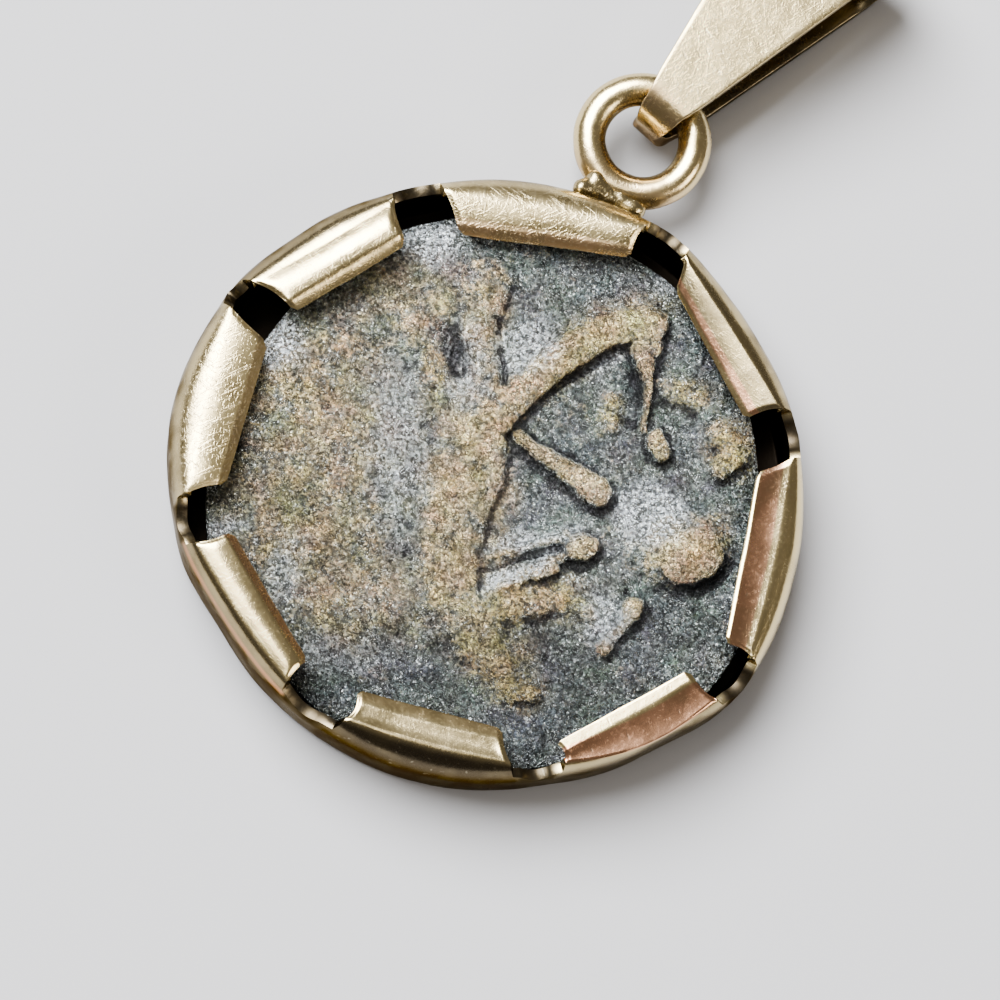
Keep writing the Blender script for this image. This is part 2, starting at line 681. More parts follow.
def dent(point, size, depth):
    """Unevenness of hand-worked metal: a smooth push in or out."""
    return noise.noise(point / size) * depth


for vertex in sheet.verts:
    i, j = cell_place[vertex]
    k = (i % COLUMNS) // PART_COLUMNS
    point = columns[i % COLUMNS][j].copy()
    outward = Vector((point.x, point.y, 0)).normalized()
    point += outward * (dent(point, 1.6, 0.03) + dent(point, 0.5, 0.008)) * smooth01(point.z / 0.5)
    vertex.co = point
    in_gap = i % PART_COLUMNS > TAB_COLUMNS
    on_wall = 1 - smooth01((j - WALL_END) / 4)
    low = smooth01((FOOT_H - point.z) / FOOT_H)
    vertex[sheet_tones["brown"]], vertex[sheet_tones["peach"]] = GAP_TONE if in_gap else tone_at(k, j)
    vertex[sheet_tones["scratched"]] = tones[k].scratched * smooth01((j - WALL_END - 4) / 6)
    sawn_grime = GAP_GRIME * in_gap * (1 - on_wall)
    vertex[sheet_tones["grime"]] = WALL_GRIME * on_wall + FOOT_GRIME * low + sawn_grime
    vertex[thickness_layer][0] = mix(1.0, FILED_THICKNESS, smooth01((j - ROWS * 0.8) / (ROWS * 0.2)))
bmesh.ops.remove_doubles(sheet, verts=sheet.verts, dist=MERGE_DISTANCE)
bmesh.ops.recalc_face_normals(sheet, faces=sheet.faces)
bezel = make_piece(sheet, "bezel_sheet", "bezel", [gold, hidden_gold])

# %% [markdown]
# ### Thickness and cut edges
# Solidify gives the sheet its thickness towards the coin, thinner where the inner edges were filed. Its
# second material is the grimy gold inside the setting, where nothing is polished. Bevel rounds the cut edges,
# so that they catch light.

# %% Thicken the sheet
EDGE_ANGLE = 50  # a sharper corner than this is a cut edge


def thicken(piece, thickness):
    """Grows a skin inwards into sheet metal."""
    wall = piece.modifiers.new("sheet", "SOLIDIFY")
    wall.thickness = thickness * MM
    wall.offset = -1
    wall.use_even_offset = True
    return wall


def round_edges(piece, width, segments):
    edges = piece.modifiers.new("edges", "BEVEL")
    edges.width = width * MM
    edges.segments = segments
    edges.limit_method = "ANGLE"
    edges.angle_limit = math.radians(EDGE_ANGLE)


wall = thicken(bezel, SHEET_T)
wall.vertex_group = bezel.vertex_groups.new(name="thickness").name
wall.thickness_vertex_group = 0.0
wall.material_offset = 1
wall.material_offset_rim = 0
round_edges(bezel, 0.045, 2)
print("bezel's modifiers:", [modifier.name for modifier in bezel.modifiers])

# %% [markdown]
# ## The jump ring
# The ring is round wire bent into a circle. A curve with a round section would do, but a circle of wire
# section that is spun about the ring's axis is already a mesh, and its points can then be pushed a little so
# that it looks bent by hand.

# %% Bend the jump ring
RING_D = 4.0                 # outside of the ring
WIRE_D = 0.95                # thickness of its wire
RING_Y, RING_Z = 11.05, 1.5  # place of its middle
RING_LIFT = 5.0              # degrees by which its far side is raised
RING_INNER = 1.45            # inside of this distance the wire is brown
LOW_BROWN, INNER_BROWN = 0.5, 0.4
ring_middle = Vector((0, RING_Y, RING_Z))
ring_place = Matrix.Translation(ring_middle) @ Matrix.Rotation(math.radians(RING_LIFT), 4, "X")

ring = bmesh.new()
section = bmesh.ops.create_circle(ring, segments=32, radius=WIRE_D / 2)["verts"]
bmesh.ops.rotate(ring, verts=section, cent=(0, 0, 0), matrix=Matrix.Rotation(math.pi / 2, 3, "X"))
bmesh.ops.translate(ring, verts=section, vec=((RING_D - WIRE_D) / 2, 0, 0))
bmesh.ops.spin(ring, geom=ring.verts[:] + ring.edges[:], cent=(0, 0, 0), axis=(0, 0, 1), angle=2 * math.pi,
               steps=128, use_merge=True)
bmesh.ops.transform(ring, matrix=ring_place, verts=ring.verts)
bmesh.ops.recalc_face_normals(ring, faces=ring.faces)
ring_tones = tone_layers(ring)
ring.normal_update()
for vertex in ring.verts:
    vertex.co += vertex.normal * (dent(vertex.co, 0.9, 0.02) + dent(vertex.co, 0.3, 0.006))
    away = vertex.co - ring_middle
    low = smooth01((RING_Z - vertex.co.z + 0.2) / 0.5)
    inside = smooth01((RING_INNER - Vector((away.x, away.y)).length) / 0.3)
    vertex[ring_tones["scratched"]] = 0.1
    vertex[ring_tones["brown"]] = clamp01(LOW_BROWN * low + INNER_BROWN * inside)
    by_solder = 0.3 * smooth01((-away.y - 0.5) / 1.0)
    vertex[ring_tones["peach"]] = by_solder + 0.15 * smooth01((away.x - 1.0) / 0.8)
make_piece(ring, "jump_ring", "bezel", [gold])

# %% [markdown]
# ## The solder
# The solder is a drop that ran between the wire and the band. Metaballs would blend drops too, but their mesh
# can't be steered. Here a ball is pushed out in every direction until it lies on the skin of several blended
# drops, which gives the smooth hollow curve that molten solder draws between two pieces.

# %% Run the solder
SOLDER_MIDDLE = Vector((-0.3, 9.1, 1.5))
SOLDER_REACH = 2.5  # farther from the middle than any point of the skin
HALVINGS = 18       # steps of the search for the skin
FADE = 1.9          # how fast a drop's pull fades
# middle and radius of each drop
drops = [
    (Vector((0.05, 9.25, 1.3)), 0.40),
    (Vector((0.6, 9.1, 1.4)), 0.32),
    (Vector((-0.55, 9.15, 1.45)), 0.36),
    (Vector((-1.05, 8.95, 1.75)), 0.22),
    (Vector((-0.8, 9.4, 1.65)), 0.2),
]


def solder_depth(point):
    """Positive inside the blended drops: each drop's pull fades with distance and the pulls add up."""
    return sum(math.exp(-FADE * ((point - middle).length / radius - 1)) for middle, radius in drops) - 1


def skin_distance(direction):
    """How far the skin is from the middle, found by halving the way that is left."""
    near, far = 0.0, SOLDER_REACH
    for _ in range(HALVINGS):
        middle = (near + far) / 2
        if solder_depth(SOLDER_MIDDLE + direction * middle) > 0:
            near = middle
        else:
            far = middle
    return near


solder = bmesh.new()
bmesh.ops.create_icosphere(solder, subdivisions=5, radius=1)
solder_tones = tone_layers(solder)
for vertex in solder.verts:
    direction = vertex.co.normalized()
    vertex.co = SOLDER_MIDDLE + direction * skin_distance(direction)
    vertex.co += direction * (dent(vertex.co, 0.25, 0.04) + dent(vertex.co, 0.1, 0.015))
    vertex[solder_tones["brown"]] = 0.4
    vertex[solder_tones["scratched"]] = 0.3
make_piece(solder, "solder", "bezel", [gold])

# %% [markdown]
# ## The bail
# The bail is one strip, wide at the top and narrow where it bends through the ring. Its side view is a small
# arc and a large arc joined by two straight leaves. A grid is wrapped along that line, and each row is as
# wide as the strip is there. Solidify and Bevel make the sheet's thickness and the bright filed edges.

# %% Draw the bail's side view
BAIL_LEN = 9.2                        # length of the bail
BAIL_H = 3.596                        # height of its round loop
BAIL_T = 0.35                         # thickness of its strip
BAIL_TURN = 18.0                      # degrees by which it swings aside
BAIL_SIDE = -0.1                      # how far it slid sideways
NECK_HALF, CREASE_S = 0.825, 1.6      # half width of the neck, and where the strip starts to widen
BAIL_TAPER = 11.5                     # angle of its edges in degrees
TIP_HALF, TIP_POINT = 0.6, 0.3        # half width of the strip's tip, and of its very end
TIP_R, TIP_S, TIP_Z = 1.2, 1.4, 1.64  # radius and place of the small arc through the ring
ARC_STEPS, LEAF_STEPS = 28, 24


def bail_line():
    """The strip's outer line seen from the side, as (distance from the ring's middle, height) points."""
    big_r = BAIL_H / 2
    big = Vector((TIP_S - TIP_R + BAIL_LEN - big_r, big_r))
    small = Vector((TIP_S, TIP_Z))
    apart = big - small
    rise = math.degrees(math.atan2(apart.y, apart.x))
    spread = math.degrees(math.asin((big_r - TIP_R) / apart.length))

    def on_arc(middle, radius, begin, end):
        return [middle + polar(radius, mix(begin, end, i / ARC_STEPS)).to_2d() for i in range(ARC_STEPS + 1)]

    def leaf(a, b):
        return [mix(a, b, i / LEAF_STEPS) for i in range(1, LEAF_STEPS)]

    loop = on_arc(big, big_r, rise - 90 - spread, rise + 90 + spread)
    tip = on_arc(small, TIP_R, rise + 90 + spread, rise + 270 - spread)
    return loop + leaf(loop[-1], tip[0]) + tip + leaf(tip[-1], loop[0])


def bail_half_width(s):
    if s >= CREASE_S:
        return NECK_HALF + (s - CREASE_S) * math.tan(math.radians(BAIL_TAPER))
    middle = TIP_S - TIP_R + TIP_HALF
    if s >= middle:
        return mix(TIP_HALF, NECK_HALF, (s - middle) / (CREASE_S - middle))
    return mix(TIP_POINT, TIP_HALF, math.sqrt(max(0.0, 1 - ((middle - s) / TIP_HALF) ** 2)))


line = bail_line()
print("greatest half width of the bail:", round(max(bail_half_width(s) for s, _ in line), 2), "mm")

# %% Wrap the strip
ACROSS = 16
bail = bmesh.new()
bmesh.ops.create_grid(bail, x_segments=len(line), y_segments=ACROSS, size=1)
bail_tones = tone_layers(bail)
bail_swing = Matrix.Rotation(math.radians(90 - BAIL_TURN), 4, "Z")
bail_place = Matrix.Translation((BAIL_SIDE, RING_Y, 0)) @ bail_swing
for vertex in bail.verts:
    i = round((vertex.co.x + 1) / 2 * len(line)) % len(line)
    across = vertex.co.y
    s, z = line[i]
    vertex.co = bail_place @ Vector((s, across * bail_half_width(s), z))
    vertex[bail_tones["scratched"]] = 0.14
    vertex[bail_tones["brown"]] = 0.45 * smooth01((2.4 - z) / 1.0) + 0.36
    vertex[bail_tones["peach"]] = 0.3 * smooth01((1.6 - s) / 0.6)
bmesh.ops.remove_doubles(bail, verts=bail.verts, dist=MERGE_DISTANCE)
bmesh.ops.recalc_face_normals(bail, faces=bail.faces)
bail_strip = make_piece(bail, "bail_strip", "bail", [gold])
thicken(bail_strip, BAIL_T)
round_edges(bail_strip, 0.09, 3)

# %% [markdown]
# ## The coin's relief
# Long wear has left only broad strokes and pellets of the coin's design. They could be sculpted by hand, but
# a table is easier to change. Each row is one stroke between two points, with its half width at both ends,
# its height and the width of its flank. Heights below zero are hollows. The design was struck a little
# aslant, so the flanks on one side are long and the others are steep.

# %% Strokes of the design
Stroke = namedtuple("Stroke", "x1 y1 x2 y2 half1 half2 rise flank")
strokes = [Stroke(*row) for row in (
    # broad worn field on the left
    (-5.6, -0.5, -3.8, -3.1, 2.04, 2.21, 0.14, 1.56),
    (-4.3, -4.5, -2, -5.1, 1.3, 1.25, 0.11, 1.27),
    (-5.6, 1.6, -3.5, 3.4, 0.96, 1.13, 0.12, 0.99),
    (-3.7, 3.2, -3.1, 4.3, 0.74, 0.45, 0.15, 0.57),
    (-3.2, 2.9, -2.7, 2.1, 0.55, 0.35, 0.15, 0.4),
    # column and long ridge through the middle
    (-2.5, 5.1, -2.1, 3.7, 0.85, 0.5, 0.24, 0.5),
    (-1.8, 3.4, -0.9, 2, 0.4, 0.51, 0.24, 0.51),
    (-0.9, 2.1, -0.6, 0, 0.59, 0.91, 0.34, 0.61),
    (-0.6, 0, -0.4, -2.1, 0.93, 0.88, 0.33, 0.61),
    (-0.4, -2.1, 0.2, -3.4, 0.85, 0.79, 0.31, 0.54),
    (0.2, -3.4, 1.5, -4.3, 0.76, 0.71, 0.29, 0.54),
    (1.6, -4.3, 2.7, -5.1, 0.62, 0.42, 0.26, 0.46),
    (2.8, -5.3, 3.5, -5.1, 0.31, 0.25, 0.28, 0.45),
    # upper arm and the hook at its end
    (-0.4, 1.5, -0.1, 2.9, 0.37, 0.48, 0.41, 0.29),
    (-0.1, 2.9, 0.5, 4.2, 0.48, 0.54, 0.43, 0.29),
    (0.5, 4.2, 1.3, 5.3, 0.54, 0.48, 0.43, 0.29),
    (1.3, 5.3, 2.3, 6, 0.48, 0.54, 0.41, 0.32),
    (2.3, 6.1, 2.6, 5.3, 0.37, 0.34, 0.37, 0.26),
    (2.4, 5.2, 2.9, 4.5, 0.37, 0.17, 0.39, 0.2),
    (2.9, 4.5, 3.2, 3.8, 0.17, 0.11, 0.36, 0.16),
    (3.2, 3.8, 3.4, 3.1, 0.08, 0.07, 0.3, 0.13),
    (3.8, 3, 4.1, 2.7, 0.28, 0.28, 0.42, 0.2),
    # club below the arm
    (0.2, 1.4, 1.3, 1.2, 0.17, 0.27, 0.46, 0.24),
    (1.3, 1.2, 2.4, 1, 0.27, 0.4, 0.46, 0.26),
    (2.4, 1, 2.9, 0.9, 0.4, 0.45, 0.5, 0.26),
    # large pellet on its low swell
    (5.85, 0.2, 6.1, 0.44, 0.8, 0.8, 0.62, 0.26),
    (5.45, 0.35, 5.9, 0.6, 1.15, 1.1, 0.32, 0.8),
    # wavy bars and small pellets
    (0.8, -2.1, 1.8, -1.3, 0.1, 0.11, 0.16, 0.22),
    (1.8, -1.3, 2.6, -0.6, 0.11, 0.17, 0.2, 0.26),
    (1.3, -3.2, 1.9, -2.2, 0.17, 0.2, 0.2, 0.3),
    (1.9, -2.2, 2.7, -1.2, 0.2, 0.23, 0.25, 0.33),
    (3, -0.8, 3.2, -0.7, 0.38, 0.38, 0.42, 0.22),
    (2.3, -1.9, 2.6, -1.6, 0.25, 0.23, 0.34, 0.24),
    (1.7, -3.2, 3.2, -2.3, 0.45, 0.37, 0.22, 0.52),
    (3.2, -2.2, 4.1, -2.3, 0.4, 0.34, 0.14, 0.44),
    (5.1, -1.8, 5.1, -1.7, 0.31, 0.31, 0.42, 0.2),
    (5.1, -2, 4.8, -3.1, 0.23, 0.25, 0.31, 0.26),
    (4.8, -2.2, 4.6, -2.9, 0.57, 0.57, 0.12, 0.66),
    # worn marks near the right edge
    (3.5, 4.6, 4.5, 4.6, 0.37, 0.34, 0.18, 0.34),
    (4.5, 4.6, 5.2, 4.1, 0.28, 0.34, 0.12, 0.34),
    (5.2, 4, 5.9, 3.8, 0.4, 0.42, 0.24, 0.34),
    (6, 3.6, 5.8, 3, 0.4, 0.32, 0.28, 0.35),
    (2.2, 3.5, 2.5, 2.8, 0.23, 0.2, 0.16, 0.25),
    (1.1, 2.3, 2.7, 1.5, 1.19, 1.02, 0.07, 1.13),
    # hollows
    (2.5, 4.4, 3, 3.2, 0.2, 0.25, -0.17, 0.3),
    (3.4, 4.7, 4.1, 3.4, 0.25, 0.28, -0.08, 0.34),
    (-2.6, 3.4, -2.1, 2.5, 0.22, 0.28, -0.18, 0.35),
    (-2.6, 1.2, -2, 0.4, 0.2, 0.2, -0.08, 0.3),
    (-1.2, 3.5, -0.8, 2.8, 0.08, 0.11, -0.1, 0.24),
    (-3.3, -0.7, -2.7, -1.6, 0.17, 0.23, -0.07, 0.41),
    (-2.7, -1.6, -1.3, -2.4, 0.2, 0.2, -0.06, 0.41),
    (-1.3, -2.4, -1.2, -3.4, 0.2, 0.23, -0.07, 0.41),
    (-1.2, -3.4, -0.1, -4.1, 0.23, 0.23, -0.07, 0.41),
    (-0.1, -4.1, -1, -6, 0.23, 0.25, -0.06, 0.48),
    (6.7, -0.5, 7.1, 0.5, 0.25, 0.23, -0.08, 0.41),
    (5.3, 1.6, 6.1, 1.9, 0.23, 0.23, -0.05, 0.41),
    (0.5, 2.9, 1.5, 4.4, 0.08, 0.08, -0.08, 0.2),
    (0.8, -2.6, 1.1, -3.3, 0.08, 0.08, -0.08, 0.24),
    (0.9, -2.5, 1.9, -1.6, 0.07, 0.08, -0.1, 0.17),
    (1.9, -1.6, 2.5, -1.1, 0.08, 0.06, -0.07, 0.17),
    (2.9, -3.5, 3.5, -3.7, 0.45, 0.48, -0.1, 0.61),
    (2.1, -3.7, 2.5, -4.2, 0.11, 0.11, -0.06, 0.28),
)]
print("rows in the table of strokes:", len(strokes))

# %% Height of the design
LONG_FLANK_SIDE = 152.0  # direction towards which the flanks are long
FLANK_UNEVEN = 0.6       # how much longer they are there, and shorter on the other side
DOME = 0.3               # how far a stroke falls from its middle line to its edge
RELIEF = 0.95            # share of the table's heights that wear has left
RAGGED = ((0.5, 0.08), (0.17, 0.025))  # size and push of the two raggednesses of an edge
# direction in degrees, length and height of each long wave of the field
waves = [(20, 3.1, 0.02), (75, 2.3, 0.016), (140, 4.2, 0.02)]
long_side = polar(1, LONG_FLANK_SIDE)


def stroke_box(stroke):
    """The region that a stroke can reach. Outside of it the stroke needs no work."""
    reach = max(stroke.half1, stroke.half2) + stroke.flank * 2
    return (min(stroke.x1, stroke.x2) - reach, max(stroke.x1, stroke.x2) + reach,
            min(stroke.y1, stroke.y2) - reach, max(stroke.y1, stroke.y2) + reach)


boxes = [stroke_box(stroke) for stroke in strokes]


def stroke_height(stroke, x, y):
    """Height of one stroke at a point, from its distance to the stroke's middle line."""
    ax, ay = stroke.x2 - stroke.x1, stroke.y2 - stroke.y1
    share = clamp01(((x - stroke.x1) * ax + (y - stroke.y1) * ay) / (ax * ax + ay * ay))
    half = mix(stroke.half1, stroke.half2, share)
    dx, dy = x - stroke.x1 - ax * share, y - stroke.y1 - ay * share
    distance = math.hypot(dx, dy)
    towards = (dx * long_side.x + dy * long_side.y) / max(distance, 0.001)
    flank = stroke.flank * (1 + FLANK_UNEVEN * towards)
    dome = 1 - DOME * min(1.0, distance / half) ** 2
    return RELIEF * stroke.rise * dome * smooth01(0.5 + (half - distance) / flank)


def ragged(x, y):
    """Moves a point a little, so that the strokes get the broken edges that corrosion leaves."""
    place = Vector((x, y, 0))
    (coarse, far), (fine, near) = RAGGED
    push = noise.noise_vector(place / coarse) * far + noise.noise_vector(place / fine) * near
    return x + push.x, y + push.y


def design_height(x, y):
    """Height of the worn design above the field in millimetres."""
    x, y = ragged(x, y)
    heights = [stroke_height(stroke, x, y) for stroke, (left, right, low, high) in zip(strokes, boxes)
               if left < x < right and low < y < high]
    return max([0.0] + heights) + min([0.0] + heights)


def wave_height(x, y):
    """Low waves that keep the worn field from being flat."""
    total = 0.0
    for degrees, length, height in waves:
        along = x * math.cos(math.radians(degrees)) + y * math.sin(math.radians(degrees))
        total += height * math.sin(2 * math.pi * along / length)
    return total


def corrosion(x, y):
    """Rough grain in three sizes, from smooth noise."""
    place = Vector((x, y, 0))
    lumps = noise.fractal(place / 1.1, 1.0, 2.0, 3)
    coarse = noise.fractal(place / 0.4, 1.0, 2.0, 3)
    fine = noise.noise(place / 0.13)
    return 0.05 * lumps + 0.03 * coarse + 0.014 * fine


print("height of the large pellet:", round(design_height(5.95, 0.35), 2), "mm")

# %% [markdown]
# ### Stains
# The patina isn't one colour. The left half has worn to a warm taupe, some spots are yellow with old dirt,
# the places that catch the window are cool and pale, and the lower side is darker. The stains could be
# painted, but a table keeps them in their place on the coin. Each row is one soft oval stain, with its
# middle, its half sizes, its turn in degrees, and how warm, yellow, cool and dark it is.

# %% Stains of the patina
Stain = namedtuple("Stain", "x y half_x half_y turn warm yellow cool dark")
stains = [Stain(*row) for row in (
    # left field
    (-5.0, -1.4, 2.7, 4.2, 24, 0.7, 0.25, 0, 0),
    # upper left
    (-4.4, 3.6, 1.8, 1.3, 44, 0.7, 0.1, 0, 0),
    # sandy spots
    (-4.4, -3.8, 1.7, 0.8, 24, 0.6, 0.5, 0, 0),
    (-4.6, -0.6, 0.8, 1.5, 24, 0.5, 0.35, 0, 0),
    # brown wedge
    (-2.6, 2.1, 0.4, 0.9, 24, 0.5, 0.8, 0, 0),
    # ridge
    (-0.5, -0.9, 1.4, 3.4, 24, 0.9, 0.1, 0, 0),
    # column above the ridge
    (-2.0, 4.1, 0.7, 1.3, 24, 1.0, 0.2, 0, 0),
    # arm
    (1.0, 4.7, 2.5, 0.8, 54, 0.5, 0.45, 0, 0),
    # lower end of the ridge
    (2.1, -4.1, 1.0, 1.4, 24, 0.5, 0.7, 0, 0),
    # tip of the lower end
    (3.2, -5.2, 0.7, 0.4, 24, 0.2, 1, 0, 0),
    # olive spot under the bars
    (2.5, -2.6, 1.5, 0.7, 24, 0.5, 0.6, 0, 0),
    # low on the left
    (-1.9, -4.7, 2.0, 1.4, 24, 0.7, 0.3, 0, 0),
    # marks on the right
    (4.1, 4.6, 0.7, 0.5, 24, 0.2, 0.7, 0, 0),
    (5.9, 3.7, 0.7, 0.8, 24, 0.2, 0.9, 0, 0),
    # mark in the middle
    (2.4, 3.2, 0.3, 0.6, 24, 0.2, 0.7, 0, 0),
    # large pellet
    (5.95, 0.35, 0.75, 0.62, 44, 0.9, 0.1, 0, 0),
    # right of the pellet
    (6.6, 1.4, 0.3, 0.6, 24, 0, 0.6, 0, 0),
    # edge by the left tab
    (-6.9, 1.1, 0.7, 0.7, 24, 0, 0, 0.9, 0),
    # edge in the gap left of the ring
    (-4.3, 5.6, 1.0, 0.7, 24, 0, 0, 0.9, 0),
    # edge in the gap right of the ring
    (2.0, 7.7, 0.5, 0.6, 24, 0, 0, 0.8, 0),
    # flank of arm
    (-0.6, 3.9, 0.9, 0.6, 64, 0, 0, 0.8, 0),
    # under arm
    (1.7, 4.5, 0.6, 0.3, 54, 0, 0, 0.9, 0),
    # flank of pellet
    (4.5, 1.0, 1.0, 0.8, 24, 0, 0, 1, 0),
    # bars
    (1.8, -2.1, 1.2, 0.3, 52, 0, 0, 0.9, 0),
    (1.7, -1.2, 1.4, 0.2, 38, 0, 0, 0.7, 0),
    # flank of the low mark
    (4.6, -2.3, 0.6, 0.7, 24, 0, 0, 0.8, 0),
    # edge in the left gap
    (-6.5, -4.5, 0.7, 0.3, 24, 0, 0, 0.8, 0),
    # edge low on the left
    (-4.3, -5.0, 0.4, 1.1, -6, 0, 0, 0.5, 0),
    # channel beside the ridge
    (-2.7, -0.3, 0.7, 2.6, 24, 0, 0, 0.45, 0),
    (-1.9, 2.9, 0.5, 1.4, 24, 0, 0, 0.5, 0),
    # edge at the bottom
    (-1.8, -6.3, 1.4, 0.6, 24, 0, 0, 0.3, 0),
    # darker lower side and hollows
    (-0.8, -2.0, 1.4, 2.6, 24, 0, 0, 0, 0.18),
    (-3.8, -4.2, 2.0, 1.3, 24, 0, 0, 0, 0.2),
    (3.5, -4.6, 3.2, 1.9, 24, 0, 0, 0, 0.45),
    (-1.0, -6.2, 3.4, 1.6, 24, 0, 0, 0, 0.45),
    (2.8, -3.6, 0.7, 0.5, 24, 0, 0, 0, 0.5),
    (-5.2, -3.6, 1.6, 2.2, 24, 0, 0, 0, 0.3),
    (6.4, -1.4, 0.8, 1.6, 24, 0, 0, 0, 0.3),
    (-2.4, 3.0, 0.35, 0.7, 24, 0, 0, 0, 0.45),
    (2.75, 3.8, 0.22, 0.7, 24, 0, 0, 0, 0.5),
)]


STAIN_RAGGED = (0.8, 0.35)  # size and push of the raggedness of a stain's edge


def stain_at(x, y):
    """Warm, yellow, cool and dark shares of the patina at a point."""
    size, far = STAIN_RAGGED
    push = noise.noise_vector(Vector((x, y, 3)) / size) * far
    x, y = x + push.x, y + push.y
    shares = [0.0, 0.0, 0.0, 0.0]
    for stain in stains:
        turn = math.radians(stain.turn)
        dx, dy = x - stain.x, y - stain.y
        along = (dx * math.cos(turn) + dy * math.sin(turn)) / stain.half_x
        across = (dy * math.cos(turn) - dx * math.sin(turn)) / stain.half_y
        strength = smooth01(1.5 - math.hypot(along, across))
        for i, share in enumerate((stain.warm, stain.yellow, stain.cool, stain.dark)):
            shares[i] = max(shares[i], share * strength)
    return shares


print("stain of the left field:", [round(share, 2) for share in stain_at(-4.9, -1.4)])

# %% [markdown]
# ## The coin
# A square grid is pressed into the coin's uneven outline, so that its cells stay nearly equal. A grid in
# circles would crowd them in the middle. The top takes the relief and the stains, and each point keeps them
# as attributes that the material reads.

# %% Strike the coin
COIN_R, COIN_T = 7.85, 1.65  # middle radius and thickness of the coin
COIN_BASE_Z = 0.45           # height of its back
COIN_SHIFT = (0.35, -0.3)    # place of its middle
EDGE_BEGINS = 0.9            # share of the way out at which the worn edge begins
EDGE_WIDTH = 0.1             # and the share that is left for it
EDGE_DROP = 0.3              # how far the edge has worn down
COIN_CELLS = 300
# direction in degrees, and how far the outline stands out from the middle radius there
coin_outline = [(-17, 0.25), (25, -0.35), (75, 0.15), (128, 0.25),
                (170, 0), (210, 0.3), (252, 0), (296, -0.1)]
coin_knots = sorted((angle + full_turn, out) for full_turn in (-360, 0, 360) for angle, out in coin_outline)
stain_names = ("warm", "yellow", "cool", "dark")


def coin_point(u, v):
    """Place on the coin and distance from its middle, 0 to 1, for a point of the square grid."""
    x, y = u * math.sqrt(1 - v * v / 2), v * math.sqrt(1 - u * u / 2)
    away = math.hypot(x, y)
    radius = COIN_R + knot_value(coin_knots, math.degrees(math.atan2(y, x))) * away
    return COIN_SHIFT[0] + x * radius, COIN_SHIFT[1] + y * radius, away


coin = bmesh.new()
bmesh.ops.create_grid(coin, x_segments=COIN_CELLS, y_segments=COIN_CELLS, size=1)
layers = {name: coin.verts.layers.float.new(name) for name in ("height", *stain_names, "bulge")}
for vertex in coin.verts:
    x, y, away = coin_point(vertex.co.x, vertex.co.y)
    fall = clamp01((away - EDGE_BEGINS) / EDGE_WIDTH) ** 2
    height = design_height(x, y) + wave_height(x, y)
    rough = corrosion(x, y)
    vertex.co = Vector((x, y, COIN_BASE_Z + COIN_T + height * (1 - fall) + rough - EDGE_DROP * fall))
    vertex[layers["height"]] = height + rough
    for name, share in zip(stain_names, stain_at(x, y)):
        vertex[layers[name]] = share
print("points of the coin's face:", len(coin.verts))

# %% [markdown]
# ### Bulges and crevices
# Dirt stays at the foot of a stroke, and fingers polish what stands up. A baked map could tell the two apart.
# Here each height is compared with the mean of the heights around it, which is quick because the points still
# lie in a grid. The mean is read a little nearer the window, because the far side of a stroke stays darker.

# %% Measure the bulges
BLUR_PASSES = 30
TOWARDS_WINDOW = (-1, 1)  # rows and columns of the grid
heights = np.array([vertex[layers["height"]] for vertex in coin.verts]).reshape(COIN_CELLS + 1, -1)
around = heights
for _ in range(BLUR_PASSES):
    around = (around + sum(np.roll(around, step, axis) for step in (-1, 1) for axis in (0, 1))) / 5
bulges = heights - np.roll(around, TOWARDS_WINDOW, (0, 1))
for vertex, bulge in zip(coin.verts, bulges.flat):
    vertex[layers["bulge"]] = float(bulge)
print("bulges from", round(float(bulges.min()), 3), "to", round(float(bulges.max()), 3), "mm")

# %% [markdown]
# ### Side and back
# Only the face is a grid. Its outer edges are extruded down to the back and a little inwards, and one flat
# face closes the coin. The lip and the band hide both, so they need no relief.

# %% Close the side and the back
BASE_BEVEL = 0.15  # the back's edge is rounded by this much


def only(kind, geometry):
    return [item for item in geometry if isinstance(item, kind)]


rim_edges = [edge for edge in coin.edges if edge.is_boundary]
side = bmesh.ops.extrude_edge_only(coin, edges=rim_edges)["geom"]
for vertex in only(bmesh.types.BMVert, side):
    vertex.co.z = COIN_BASE_Z + BASE_BEVEL
    vertex[layers["height"]] = 0
base = bmesh.ops.extrude_edge_only(coin, edges=only(bmesh.types.BMEdge, side))["geom"]
for vertex in only(bmesh.types.BMVert, base):
    vertex.co.x = mix(vertex.co.x, COIN_SHIFT[0], BASE_BEVEL / COIN_R)
    vertex.co.y = mix(vertex.co.y, COIN_SHIFT[1], BASE_BEVEL / COIN_R)
    vertex.co.z = COIN_BASE_Z
bmesh.ops.edgeloop_fill(coin, edges=only(bmesh.types.BMEdge, base))
bmesh.ops.recalc_face_normals(coin, faces=coin.faces)
print("edges round the coin:", len(rim_edges))

# %% [markdown]
# ## Old bronze
# The field of the coin is dark, between green and blue, and glitters with fine grain. The high places have
# worn down to a sandy tan. The height attribute, broken up by noise, mixes the two, and the stains tint them.
# Curly bright threads and specks of crystal lie over it all. A few noises of different sizes drive all the
# mixes, so that colour, pits and gloss change at the same places, as they do on real corrosion.

# %% Noises of the bronze
bronze, tree, shader = new_material("old_bronze")
place = in_millimetres(tree)
cloud = noise_value(tree, place, 0.9, detail=4.0, roughness=0.6)
patches = noise_value(tree, place, 1.3, detail=4.0, roughness=0.65, distortion=0.6)
mottle = noise_value(tree, place, 3.2, detail=4.0, roughness=0.65)
grain = noise_value(tree, place, 8.5, roughness=0.7)
blots = noise_value(tree, place, 1.7, roughness=0.55, distortion=0.8)
blotches = remap(tree, blots, 0.4, 0.6, 0.72, 1.2)
bulge = attribute(tree, "bulge")


